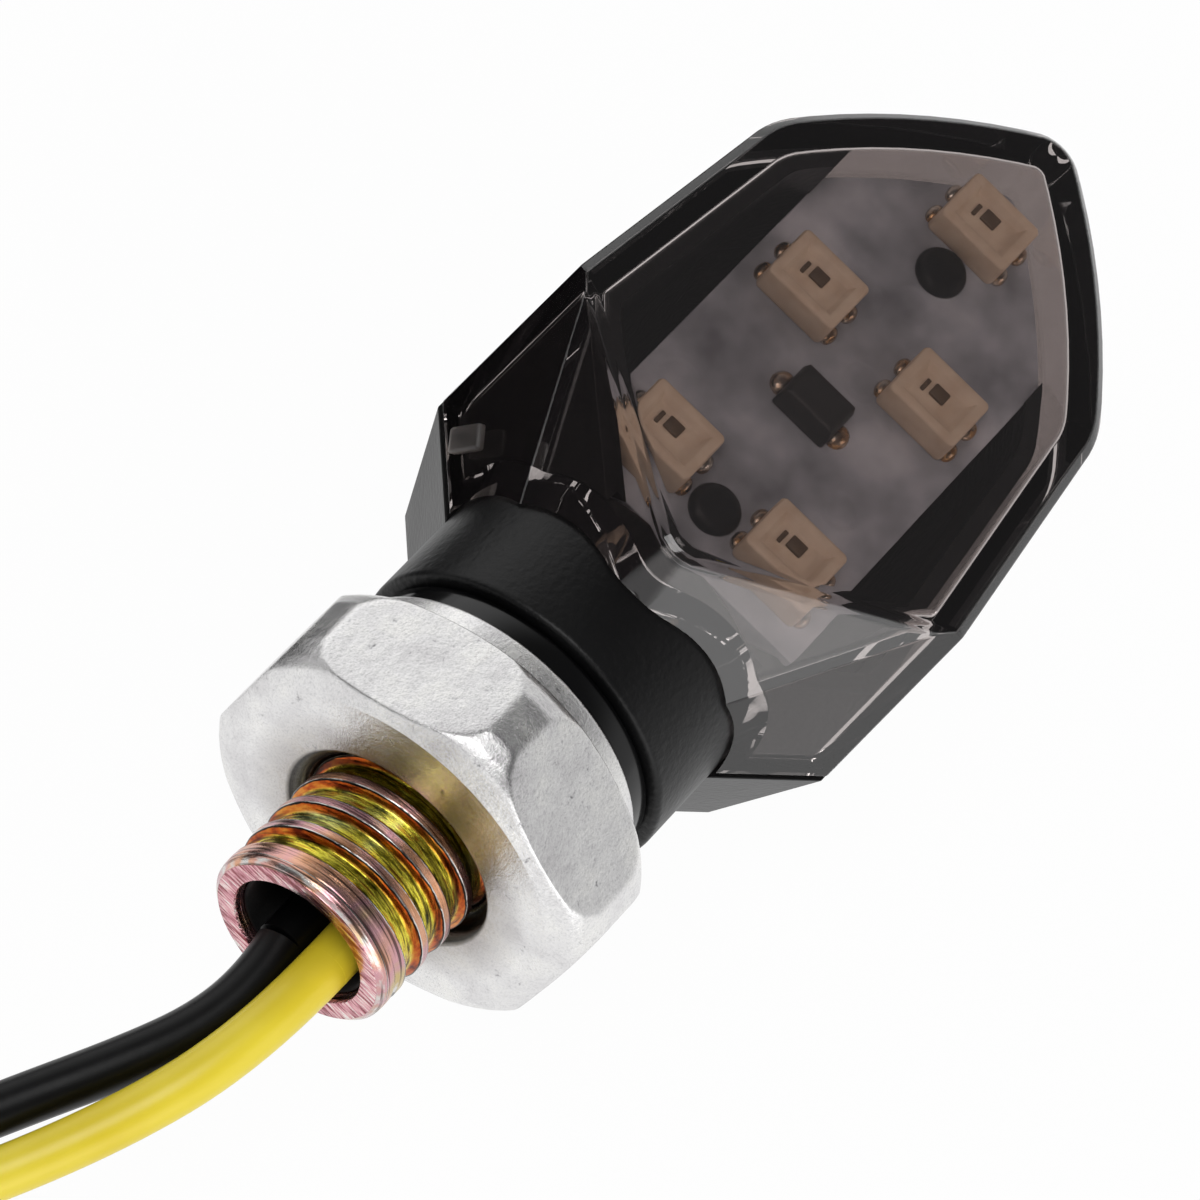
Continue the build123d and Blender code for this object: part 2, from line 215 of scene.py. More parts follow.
def polyhedron(planes):
    """Corners and faces of the convex solid inside planes given as rows of (normal, distance).

    A corner is where three planes meet inside all of the others, and a face is a plane's corners in
    order of their angle round their middle."""
    n, d = planes[:, :3], planes[:, 3]
    trio = np.array(list(combinations(range(len(planes)), 3)))
    sides = n[trio]
    usable = np.abs(np.linalg.det(sides)) > 1e-6
    trio, sides = trio[usable], sides[usable]
    at = np.linalg.solve(sides, d[trio][:, :, None])[:, :, 0]
    at = at[(at @ n.T <= d + 1e-6).all(1)]
    corners = at[np.unique(np.round(at, 4), axis=0, return_index=True)[1]]
    faces = []
    for normal, distance in zip(n, d):
        on = np.flatnonzero(np.abs(corners @ normal - distance) < 2e-4)
        if len(on) < 3:
            continue
        across = np.cross(normal, [0.31, 0.52, 0.79])
        spread = corners[on] - corners[on].mean(0)
        angle = np.arctan2(spread @ np.cross(normal, across), spread @ across)
        faces.append(on[np.argsort(angle)].tolist())
    return corners, faces


def bevelled(piece, width, segments=3):
    """The piece with a live bevel, in millimetres, on each edge of more than 14 degrees."""
    modifier = piece.modifiers.new("edges", "BEVEL")
    modifier.width, modifier.segments = width * MM, segments
    modifier.limit_method, modifier.angle_limit = "ANGLE", radians(14)
    return piece


def finished(piece, bevel, *cutters):
    """The piece with its edges bevelled and other pieces cut away, as one plain mesh."""
    bevelled(piece, bevel)
    for cutter in cutters:
        modifier = piece.modifiers.new("cut", "BOOLEAN")
        modifier.operation, modifier.solver, modifier.object = "DIFFERENCE", "EXACT", cutter
    made = bpy.data.meshes.new_from_object(piece.evaluated_get(bpy.context.evaluated_depsgraph_get()))
    piece.modifiers.clear()
    piece.data = made
    made.polygons.foreach_set("use_smooth", np.ones(len(made.polygons), bool))
    made.set_sharp_from_angle(angle=radians(30))
    weighted = piece.modifiers.new("flat faces", "WEIGHTED_NORMAL")
    weighted.keep_sharp = True
    for cutter in cutters:
        bpy.data.objects.remove(cutter)
    return piece


# ---------------------------------------------------------------- helpers for materials

def colour(value):
    """An sRGB hex colour as linear red, green, blue and alpha."""
    parts = np.array([int(value[i:i + 2], 16) for i in (1, 3, 5)]) / 255
    linear = np.where(parts <= 0.04045, parts / 12.92, ((parts + 0.055) / 1.055) ** 2.4)
    return (*linear.tolist(), 1.0)


def node(tree, kind, sockets=(), stops=(), **settings):
    """Adds a node with its settings, what feeds or fills its sockets, and the stops of a colour ramp.

    A socket is fed by another socket or by a node's first socket in use, and is filled by a value
    or a hex colour."""
    made = tree.nodes.new("ShaderNode" + kind)
    for key, value in settings.items():
        setattr(made, key, value)
    for key, value in dict(sockets).items():
        if isinstance(value, bpy.types.Node):
            value = next(socket for socket in value.outputs if socket.enabled)
        if isinstance(value, bpy.types.NodeSocket):
            tree.links.new(value, made.inputs[key])
        else:
            made.inputs[key].default_value = colour(value) if isinstance(value, str) else value
    for place, _ in stops[2:]:
        made.color_ramp.elements.new(place)
    for number, (place, value) in enumerate(stops):
        element = made.color_ramp.elements[number]
        element.position, element.color = place, colour(value)
    return made


def finish(build):
    """Turns a function that adds nodes and returns a shader into one that makes its material once."""
    @cache
    def material():
        made = bpy.data.materials.new(build.__name__)
        made.use_nodes = True
        made.node_tree.nodes.clear()
        add = partial(node, made.node_tree)
        add("OutputMaterial", {"Surface": build(add)})
        return made
    return material


def patches(add, millimetres, detail=3.0, stretch=(1, 1, 1), roughness=0.5):
    """Cloudy noise on the object's coordinates, with patches about that many millimetres wide.

    A stretch below 1 draws the patches out along that axis."""
    place = add("Mapping", {"Vector": add("TexCoord").outputs["Object"], "Scale": stretch})
    return add("TexNoise", {"Vector": place, "Scale": 1 / (millimetres * MM), "Detail": detail,
                            "Roughness": roughness})


def relief(add, *layers):
    """Bumps on one another, the lowest first, each a height and its depth in millimetres."""
    under = {}
    for height, millimetres in layers:
        under = {"Normal": add("Bump", {"Height": height, "Distance": millimetres * MM, **under})}
    return under


def mottled(add, millimetres, tint, dull, depth=0.0, **sockets):
    """A finish in patches: of one colour or a ramp's stops, and with a roughness between two values."""
    spots = patches(add, millimetres)
    sockets = {key.replace("_", " "): value for key, value in sockets.items()}
    return add("BsdfPrincipled", {
        "Base Color": tint if isinstance(tint, str) else add("ValToRGB", {"Fac": spots}, tint),
        "Roughness": add("MapRange", {"Value": spots, "To Min": dull[0], "To Max": dull[1]}),
        **(relief(add, (spots, depth)) if depth else {}), **sockets})


def finish_with(material, slot, *pieces):
    """Puts the material on pieces, or on CAD nodes by name. The slot is not used."""
    for piece in pieces:
        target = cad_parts[piece] if isinstance(piece, str) else piece
        target.data.materials.clear()
        target.data.materials.append(material)


# ---------------------------------------------------------------- materials

@finish
def moulded_black_abs(add):
    """Black ABS moulded against a spark-eroded tool: deep black with a fine matt grain.

    The real grain is finer, and is drawn as coarse as it has to be to show."""
    broad = patches(add, 6.0)
    return add("BsdfPrincipled", {
        "Base Color": add("ValToRGB", {"Fac": broad}, [(0.3, "#070708"), (0.7, "#0c0c0d")]),
        "Roughness": add("MapRange", {"Value": broad, "To Min": 0.34, "To Max": 0.46}),
        **relief(add, (patches(add, 0.3), 0.03)), "IOR": 1.53, "Specular IOR Level": 0.24})


@finish
def polished_black_abs(add):
    """Black ABS left glossy by a polished tool, with faint flow marks."""
    flow = patches(add, 2.5, 4.0, (1, 0.3, 0.3))
    return add("BsdfPrincipled", {
        "Base Color": "#060607",
        "Roughness": add("MapRange", {"Value": flow, "To Min": 0.08, "To Max": 0.22}),
        **relief(add, (flow, 0.02)), "IOR": 1.53, "Specular IOR Level": 0.35})


def dyed_polycarbonate(add, tint, roughness, wave):
    """Polycarbonate with a smoke dye: see-through, with a little haze and a wavy skin.

    Light on its way to a lamp passes it as through a tinted film, so that what lies inside is lit."""
    glass = add("BsdfPrincipled", {"Base Color": tint, "Roughness": roughness, "IOR": 1.585,
                                   "Transmission Weight": 1.0, **relief(add, (patches(add, 5.0, 2.0), wave))})
    hazy = add("MixShader", {0: 0.01, 1: glass, 2: add("BsdfDiffuse", {"Color": "#8d8489"})})
    film = add("BsdfTransparent", {"Color": "#f6f3f1"})
    return add("MixShader", {0: add("LightPath").outputs["Is Shadow Ray"], 1: hazy, 2: film})


@finish
def smoked_polycarbonate(add):
    """The lens as moulded: glossy, with faint waves."""
    return dyed_polycarbonate(add, bpy.context.scene.turn_signal_lens.smoke, 0.0, 0.014)


@finish
def broken_polycarbonate(add):
    """The same plastic where the gate was broken off: frosted and rough."""
    return dyed_polycarbonate(add, "#8f8986", 0.5, 0.1)


@finish
def bright_zinc_plate(add):
    """Bright zinc plate over forged steel: pale, finely pitted, with soft tool rings on its faces.

    It is darker and browner towards the thread, and its countersink and bore are painted dark: painted shade
    in the recess."""
    axes = add("SeparateXYZ", {"Vector": add("Mapping", {"Vector": add("TexCoord").outputs["Object"],
                                                         "Location": tuple(-AXIS_START)})}).outputs
    square = add("Math", {0: axes["Y"], 1: axes["Y"]}, operation="MULTIPLY")
    total = add("Math", {0: axes["Z"], 1: axes["Z"], 2: square}, operation="MULTIPLY_ADD")
    radius = add("Math", {0: total}, operation="SQRT")
    rings = add("TexNoise", {"Vector": add("CombineXYZ", {"X": radius}), "Scale": 1 / (0.3 * MM),
                             "Detail": 3.0})
    grain = patches(add, 0.11, roughness=0.7)
    pits = patches(add, 0.55, 7.0, roughness=0.75)
    broad = patches(add, 2.2, 6.0, roughness=0.6)
    across = add("SeparateXYZ", {"Vector": add("NewGeometry").outputs["Normal"]}).outputs["X"]
    on_faces = add("Math", {0: across}, operation="ABSOLUTE")
    tooled = add("Math", {0: rings, 1: on_faces}, operation="MULTIPLY")
    base = add("ValToRGB", {"Fac": broad}, [(0.3, "#d4d2d3"), (0.5, "#e6e5e5"), (0.72, "#f5f4f1")])
    # Darker and browner from 6.6 mm in to the mouth's edge, patchy with the pits.
    darker_towards_mouth = add("Math", {0: add("MapRange", {"Value": radius, "From Min": 4.8 * MM, "From Max": 6.6 * MM,
                                             "To Min": 0.9, "To Max": 0.0}),
                         1: add("MapRange", {"Value": pits, "To Min": 0.2})}, operation="MULTIPLY")
    for share, tint in ((0.8, add("ValToRGB", {"Fac": pits}, [(0.30, "#7f7f82"), (0.38, "#ffffff")])),
                        (0.22, add("ValToRGB", {"Fac": grain}, [(0.36, "#a2a2a4"), (0.5, "#ffffff")])),
                        (darker_towards_mouth, "#8f8172")):
        base = add("Mix", {0: share, 6: base, 7: tint}, data_type="RGBA", blend_type="MULTIPLY")
    # Inside the mouth's radius, the countersink, the tapped bore and the washer's hole are painted dark with
    # paler rings: painted shade in the recess.
    outside = add("MapRange", {"Value": radius, "From Min": 4.66 * MM, "From Max": 4.84 * MM})
    sunk = add("ValToRGB", {"Fac": rings}, [(0.4, "#1d1b19"), (0.56, "#6f6b64"), (0.62, "#cfccc6")])
    return add("BsdfPrincipled", {
        "Base Color": add("Mix", {0: outside, 6: sunk, 7: base}, data_type="RGBA"), "Metallic": 1.0,
        "Roughness": add("MapRange", {"Value": broad, "To Min": 0.16, "To Max": 0.34}),
        **relief(add, (tooled, 0.010), (pits, 0.033), (grain, 0.012))})


@finish
def yellow_chromate(add):
    """Yellow chromate over zinc on a rolled thread, with its crests worn and its end sawn.

    Outwards from the middle of a crest: rose and orange plating, a silver edge that is bare and also a
    painted highlight, a dark line, the two flanks in painted light and shade, orange on the side towards
    the free end and olive on the other, and a gold root. All of it is streaked along the thread."""
    place, flank, sawn = (add("Attribute", attribute_name=name).outputs["Fac"]
                          for name in ("thread_place", "thread_flank", "sawn_end"))
    streaks = patches(add, 0.7, 5.0, (2.6, 0.45, 0.45), 0.65)
    broad = patches(add, 3.0)
    worn = patches(add, 0.22, 5.0, (1, 0.35, 0.35))
    marks = patches(add, 0.12, stretch=(1, 0.12, 1))
    drawn = patches(add, 0.13, 2.0, (1, 0.03, 0.03))
    ragged = add("MapRange", {"Value": worn, "To Min": -0.06, "To Max": 0.06})
    place = add("Math", {0: place, 1: ragged}, operation="ADD")
    gold = add("ValToRGB", {"Fac": streaks}, [(0.36, "#3c3f12"), (0.44, "#a19628"), (0.53, "#ece254"),
                                              (0.64, "#bf8428")])
    tarnish = add("ValToRGB", {"Fac": streaks}, [(0.35, "#6f8f6a"), (0.6, "#cfe0b0")])
    # Orange on the flank towards the free end and olive on the other: painted light and shade on the same
    # plating.
    end_flank_shading = add("ValToRGB", {"Fac": streaks}, [(0.36, "#5c1f0c"), (0.5, "#b2521c"), (0.66, "#cf8a34")])
    olive = add("ValToRGB", {"Fac": streaks}, [(0.36, "#332f12"), (0.6, "#85863a")])
    crest = add("ValToRGB", {"Fac": broad}, [(0.3, "#cf8d55"), (0.44, "#dca98c"), (0.58, "#cf9ea6"),
                                             (0.7, "#c9b27e")])
    # A silver edge along each crest: bare metal where the plating is worn, and also a painted highlight.
    silver = add("ValToRGB", {"Fac": worn}, [(0.36, "#5d5853"), (0.48, "#d9d6d2")])
    rose = add("ValToRGB", {"Fac": marks}, [(0.38, "#8f4a50"), (0.48, "#d295a0"), (0.58, "#e8bcbc"),
                                            (0.66, "#f0e6e2")])
    lines = add("ValToRGB", {"Fac": drawn}, [(0.38, "#3a2c22"), (0.46, "#ffffff")])
    dull = add("ValToRGB", {"Fac": broad}, [(0.55, "#000000"), (0.68, "#c8c8c8")])
    upper = add("ValToRGB", {"Fac": flank}, [(0.0, "#000000"), (0.2, "#ffffff")])
    slope = add("Mix", {0: upper, 6: end_flank_shading, 7: olive}, data_type="RGBA")
    base = add("Mix", {0: dull, 6: gold, 7: tarnish}, data_type="RGBA")
    for begin, width, under in ((0.48, 0.14, slope), (0.33, 0.025, "#221b17"), (0.265, 0.025, silver),
                                (0.205, 0.025, crest)):
        beyond = add("ValToRGB", {"Fac": place}, [(begin, "#000000"), (begin + width, "#ffffff")])
        base = add("Mix", {0: beyond, 6: under, 7: base}, data_type="RGBA")
    base = add("Mix", {0: 0.75, 6: base, 7: lines}, data_type="RGBA", blend_type="MULTIPLY")
    cut = add("Math", {0: marks, 1: sawn}, operation="MULTIPLY")
    return add("BsdfPrincipled", {
        "Base Color": add("Mix", {0: sawn, 6: base, 7: rose}, data_type="RGBA"), "Metallic": 1.0,
        "Roughness": add("MapRange", {"Value": worn, "To Min": 0.14, "To Max": 0.34}),
        **relief(add, (streaks, 0.03), (drawn, 0.02), (cut, 0.05))})


def extruded_pvc(add, deep, pale, gloss):
    """PVC insulation: smooth, with a faint drag from its die and a soft gloss."""
    drag = patches(add, 0.5)
    return add("BsdfPrincipled", {
        "Base Color": add("ValToRGB", {"Fac": patches(add, 5.0)}, [(0.3, deep), (0.7, pale)]),
        "Roughness": add("MapRange", {"Value": drag, "To Min": 0.3, "To Max": 0.42}),
        **relief(add, (drag, 0.006)), "IOR": 1.54, "Specular IOR Level": gloss})


@finish
def yellow_pvc(add):
    """The indicator's own wire: a warm clear yellow."""
    return extruded_pvc(add, "#e9d02b", "#f4de3e", 0.5)


@finish
def black_pvc(add):
    """The ground wire: a deep black that hardly shines."""
    return extruded_pvc(add, "#060607", "#0a0a0b", 0.2)


@finish
def tinned_copper(add):
    """Tinned copper strands: bright, a little dull between the strands."""
    return mottled(add, 0.4, [(0.3, "#a8a29a"), (0.7, "#cfccc6")], (0.22, 0.4), Metallic=1.0)


@finish
def beige_led_resin(add):
    """Heat-stable beige resin of an LED's cup, satin and slightly warm."""
    return mottled(add, 0.8, [(0.3, "#cdb59d"), (0.7, "#dcc7b0")], (0.4, 0.55), IOR=1.5)


@finish
def phosphor_gel(add):
    """Brown gel over an LED's chip, matt."""
    return mottled(add, 0.2, "#5a4836", (0.45, 0.65), 0.008, IOR=1.52)


@finish
def black_epoxy(add):
    """Black moulding epoxy of a diode, matt with a fine sandblast."""
    return mottled(add, 0.2, "#1c1b1b", (0.45, 0.65), 0.008, IOR=1.52)


@finish
def flowed_solder(add):
    """Tin solder, bright and smooth where it flowed, brown where flux stayed on it."""
    return mottled(add, 0.7, [(0.4, "#cfc6bb"), (0.62, "#b98f62")], (0.16, 0.35), Metallic=1.0)


@finish
def black_sealant(add):
    """Black sealing compound, soft sheen."""
    return mottled(add, 0.6, "#050505", (0.4, 0.6), 0.02, IOR=1.5, Specular_IOR_Level=0.08)


@finish
def grey_solder_mask(add):
    """Grey solder mask on a glass-epoxy board: cloudy, satin, with tracks raised under it."""
    place = add("Mapping", {"Vector": add("TexCoord").outputs["Object"]})
    tracks = add("TexVoronoi", {"Vector": place, "Scale": 1 / (3.0 * MM)})
    step = add("ValToRGB", {"Fac": tracks}, [(0.3, "#000000"), (0.36, "#ffffff")])
    cloud = add("ValToRGB", {"Fac": patches(add, 3.5)},
                [(0.3, "#6f7177"), (0.5, "#9a9ca3"), (0.72, "#c3c3ca")])
    return add("BsdfPrincipled", {"Base Color": cloud, "Roughness": 0.38, "IOR": 1.5,
                                  **relief(add, (step, 0.035))})


@finish
def white_paper(add):
    """White paper sweep: pure white to the eye and in reflections, and it keeps a soft shadow."""
    fibre = add("ValToRGB", {"Fac": patches(add, 0.5)}, [(0.3, "#e6e6e6"), (0.7, "#ececec")])
    rays = add("LightPath").outputs
    seen = add("Math", {0: rays["Is Camera Ray"], 1: rays["Is Glossy Ray"]}, operation="MAXIMUM")
    seen = add("Math", {0: seen, 1: rays["Is Transmission Ray"]}, operation="MAXIMUM")
    return add("MixShader", {0: add("Math", {0: seen, 1: 0.97}, operation="MULTIPLY"),
                             1: add("BsdfDiffuse", {"Color": fibre}), 2: add("Emission", {"Strength": 1.0})})


# ---------------------------------------------------------------- sizes and colours a user may change

def size(name, description, millimetres):
    """A length that a user may change, given in millimetres."""
    return FloatProperty(name=name, description=description, default=millimetres * MM, unit="LENGTH",
                         precision=5)


class StageSettings(bpy.types.PropertyGroup):
    """The camera and the lights."""

    azimuth: FloatProperty(name="Azimuth", description="Turn of the camera round the lamp",
                           default=radians(-1.5), subtype="ANGLE")
    elevation: FloatProperty(name="Elevation", description="Height of the camera above the horizon",
                             default=radians(57.3), subtype="ANGLE")
    roll: FloatProperty(name="Roll", description="Turn of the camera about its own line of sight",
                        default=radians(45.58), subtype="ANGLE")
    distance: size("Distance", "From the camera to the point that it looks at", 250)
    across: size("Across", "How far right of the stud's end the middle of the view is", 11.37)
    up: size("Up", "How far above the stud's end the middle of the view is", 12.83)
    focal: FloatProperty(name="Focal length", description="Camera lens in millimetres", default=200.25)
    daylight: FloatProperty(name="Daylight", description="Strength of the white surroundings", default=0.8)
    key: FloatProperty(name="Key", description="Power of the softbox above the lamp, in watts", default=0.85)
    fill: FloatProperty(name="Fill", description="Power of the softbox on the lens's right, in watts",
                        default=0.45)


class LensSettings(bpy.types.PropertyGroup):
    """The faceted lens and the outline that it shares with the housing."""

    near_corner: size("Near corner", "From the stud's end to the widest corners", 21.3)
    near_half_width: size("Near half width", "Half the width at the widest corners", 10.5)
    shoulder: size("Shoulder", "From the stud's end to the shoulders", 25.0)
    shoulder_half_width: size("Shoulder half width", "Half the width at the shoulders", 10.45)
    far_corner: size("Far corner", "From the stud's end to where the sides meet the far edges", 36.2)
    far_half_width: size("Far half width", "Half the width at the far corners", 9.22)
    far_round: size("Far round", "Radius of the far corners", 4.5)
    tip: size("Tip", "From the stud's end to where the far edges would meet", 46.05)
    bulge: size("Bulge", "Rise of the two curved far edges", 0.72)
    tip_round: size("Tip round", "Radius at the tip", 2.1)
    wall: size("Wall", "Thickness of the lens", 1.3)
    face_edge: size("Face edge", "Width of the bevel round the face", 0.4)
    ridge: size("Ridge", "From the stud's end to where the face's near edges would meet", 18.05)
    facet_run: FloatProperty(name="Facet run", default=0.655,
                             description="How fast the face's near edges run back with width")
    crease: size("Crease", "Radius of the crease between the upper facets", 1.6)
    ridge_chamfer: size("Ridge chamfer", "How deep the face's near edges are broken", 0.2)
    smoke: FloatVectorProperty(name="Smoke", description="Tint of the lens", size=4, subtype="COLOR",
                               default=colour("#b4acaa"))


class StudSettings(bpy.types.PropertyGroup):
    """The threaded stud, its nut and its washer."""

    pitch: size("Pitch", "From one thread crest to the next", 1.41)
    root_radius: size("Root radius", "Radius at the bottom of the thread", 3.64)
    across_flats: size("Across flats", "Width of the hexagon nut", 16)
    face_radius: size("Face radius", "Radius of the nut's round faces", 7.45)
    mouth_radius: size("Mouth radius", "Radius of the countersink", 4.75)
    turn: FloatProperty(name="Turn", description="Turn of the nut from corner up", default=radians(1.5),
                        subtype="ANGLE")
    washer_radius: size("Washer radius", "Outer radius of the washer", 7.0)
    washer_hole: size("Washer hole", "Radius of the washer's hole", 4.2)


class WireSettings(bpy.types.PropertyGroup):
    """The two free wires."""

    radius: size("Radius", "Radius over the insulation", 1.0)
    coil_radius: size("Coil radius", "Radius of the outermost turn at its middle", 13.4)
    turn_gap: size("Turn gap", "From one turn of a coil to the next", 2.15)
    turns: FloatProperty(name="Turns", description="Turns in each coil", default=2.6)
    bare: size("Bare end", "Length of tinned strands that show", 4.0)
    points_per_turn: IntProperty(name="Points per turn", description="Curve points in each turn", default=16)


# ---------------------------------------------------------------- stage

# Softboxes in the frame's metres, and in the lamp's millimetres a black card just over the floor,
# which shows only in reflections and through the lens: a painted shadow, standing in for the floor's
# shade beside the lamp.
KEY_PLACE, KEY_WIDTH = (-0.16, 0.10, 0.42), 0.26
FILL_PLACE, FILL_WIDTH = (0.10, -0.34, 0.22), 0.20
SOFTBOX_AIM = (0.01, 0, 0.01)
CARD_X, CARD_Y = (-4, 75), (19, 90)

# Cards in the sky: direction, cosines where the card begins and is full, and gain.
CARDS = [((-0.63, 0.77, 0.10), 0.78, 0.95, -0.96),      # black card beside the lens's left facets
         ((-0.63, -0.77, 0.10), 0.80, 0.98, 1.4),       # white reflector beside its right facets
         ((0.54, 0.73, 0.43), 0.80, 0.95, 0.25),        # white reflector behind the nut's left flat
         ((0.54, -0.74, 0.41), 0.86, 0.96, -0.3)]       # grey card behind its right flat


class TURN_SIGNAL_OT_stage(bpy.types.Operator):
    """Camera, white floor and soft studio lights"""

    bl_idname = "turn_signal.stage"
    bl_label = "Stage"

    def execute(self, context):
        settings = context.scene.turn_signal_stage
        self.camera(context, settings)
        self.ground(context, "floor", rectangle((-1.5, 1.5), (-1.5, 1.5), 0), white_paper())
        # The black card is a painted shadow: a dark sheet for the floor's shade beside the lamp.
        over_floor = placed(rectangle(CARD_X, CARD_Y, SURFACE + 0.2))
        card = self.ground(context, "black_card", over_floor, black_sealant())
        card.visible_camera = card.visible_diffuse = card.visible_shadow = False
        self.softbox(context, "key_softbox", KEY_PLACE, KEY_WIDTH, settings.key)
        fill = self.softbox(context, "fill_softbox", FILL_PLACE, FILL_WIDTH, settings.fill)
        fill.visible_glossy = False
        self.surroundings(context, settings.daylight)
        context.scene.view_settings.view_transform = "Standard"
        return {"FINISHED"}

    def camera(self, context, settings):
        """A camera turned by azimuth, elevation and roll, which aims beside the stud's end."""
        a, e, roll = settings.azimuth, settings.elevation, settings.roll
        look = np.array([cos(e) * cos(a), cos(e) * sin(a), -sin(e)])
        level = np.cross(look, [0, 0, 1])
        level /= np.linalg.norm(level)
        above = np.cross(level, look)
        right = cos(roll) * level + sin(roll) * above
        up = -sin(roll) * level + cos(roll) * above
        aim = AXIS_START + settings.across * right + settings.up * up
        data = bpy.data.cameras.new("camera")
        data.lens, data.sensor_width, data.clip_start, data.clip_end = settings.focal, 36, 0.01, 10
        camera = bpy.data.objects.new("camera", data)
        turn = Matrix(np.stack([right, up, -look], 1).tolist()).to_4x4()
        camera.matrix_world = Matrix.Translation(aim - settings.distance * look) @ turn
        context.scene.collection.objects.link(camera)
        context.scene.camera = camera

    def ground(self, context, name, corners, material):
        """A flat rectangle that isn't part of the lamp."""
        mesh = bpy.data.meshes.new(name)
        mesh.from_pydata(corners.tolist(), [], [(0, 1, 2, 3)])
        mesh.materials.append(material)
        flat = bpy.data.objects.new(name, mesh)
        context.scene.collection.objects.link(flat)
        return flat

    def softbox(self, context, name, place, width, watts):
        """A square lamp that faces the indicator."""
        light = bpy.data.lights.new(name, "AREA")
        light.shape, light.size, light.size_y, light.energy = "RECTANGLE", width, width, watts
        lamp = bpy.data.objects.new(name, light)
        lamp.location = place
        lamp.rotation_euler = (Vector(SOFTBOX_AIM) - lamp.location).to_track_quat("-Z", "Y").to_euler()
        context.scene.collection.objects.link(lamp)
        return lamp

    def surroundings(self, context, strength):
        """A white horizon under a darker ceiling, with cards, and plain white to the eye.

        The level falls smoothly with height above the horizon, from white at 20 degrees. Each card
        multiplies it by 1 + gain where the cosine to the card's direction goes from low to high."""
        world = bpy.data.worlds.new("surroundings")
        context.scene.world = world
        world.use_nodes = True
        world.node_tree.nodes.clear()
        add = partial(node, world.node_tree)
        toward = add("TexCoord").outputs["Generated"]
        dome = add("MapRange", {"Value": add("SeparateXYZ", {"Vector": toward}).outputs["Z"], "To Min": 1.0,
                                "From Min": sin(radians(20)), "From Max": sin(radians(55)), "To Max": 0.12},
                   interpolation_type="SMOOTHSTEP")
        for direction, low, high, gain in CARDS:
            near = add("VectorMath", {0: toward, 1: direction}, operation="DOT_PRODUCT")
            card = add("MapRange", {"Value": near, "From Min": low, "From Max": high, "To Min": 1.0,
                                    "To Max": 1 + gain}, interpolation_type="SMOOTHSTEP")
            dome = add("Math", {0: dome, 1: card}, operation="MULTIPLY")
        rays = add("LightPath").outputs
        seen = add("Math", {0: rays["Is Glossy Ray"], 1: rays["Is Transmission Ray"]}, operation="MAXIMUM")
        lit = add("Math", {0: dome, 1: strength}, operation="MULTIPLY")
        level = add("Mix", {0: seen, 2: lit, 3: dome}, data_type="FLOAT")
        level = add("Mix", {0: rays["Is Camera Ray"], 2: level, 3: 1.0}, data_type="FLOAT")
        add("OutputWorld", {"Surface": add("Background", {"Color": "#ffffff", "Strength": level})})


# ---------------------------------------------------------------- wires

YELLOW_ROUTE = [(0, -1.4, 0.15), (-4.6, -1.4, 0.15), (-10.45, 0.32, -2.07), (-17.0, 3.74, -5.6),
                (-23.0, 6.02, -8.24), (-29.4, 7.62, -8.24)]
BLACK_ROUTE = [(0, 0.35, -0.95), (-1.5, 0.05, -1.16), (-4.14, 0.26, -1.73), (-7.06, 1.37, -2.46),
               (-11.6, 3.61, -3.85), (-18.0, 6.51, -5.53), (-25.3, 9.25, -6.24), (-32.3, 9.44, -6.24)]
COIL_LEAD_IN = 8.0
LAST_STRETCH, LAST_TUCK = 0.22, 1.9     # the coil's end: the share of a turn, and how far it goes in
STRAND_RADIUS, STRAND_SPACING, STRAND_LAY = 0.23, 0.46, 4.5


def with_coil(route, settings):
    """The route's points and a flat spiral, whose radius shrinks evenly with the angle, then faster."""
    radius, gap = settings.coil_radius / MM, settings.turn_gap / MM
    route = np.array(route, float)
    ahead = (route[-1] - route[-2]) / np.linalg.norm(route[-1] - route[-2])
    left = np.cross([0, 0, 1], ahead)
    centre = route[-1] + COIL_LEAD_IN * ahead + radius * left
    steps = round(settings.turns * settings.points_per_turn)
    turned_by = np.arange(steps + 1) / settings.points_per_turn
    at_end = np.clip(turned_by - settings.turns + LAST_STRETCH, 0, 1) / LAST_STRETCH
    shrink = gap * turned_by + LAST_TUCK * at_end
    angle, out = 2 * pi * turned_by[:, None], (radius - shrink)[:, None] * 1.02
    coil = centre + out * (np.sin(angle) * ahead - np.cos(angle) * left)
    return np.concatenate([route, coil[:1] - COIL_LEAD_IN / 2 * ahead, coil])


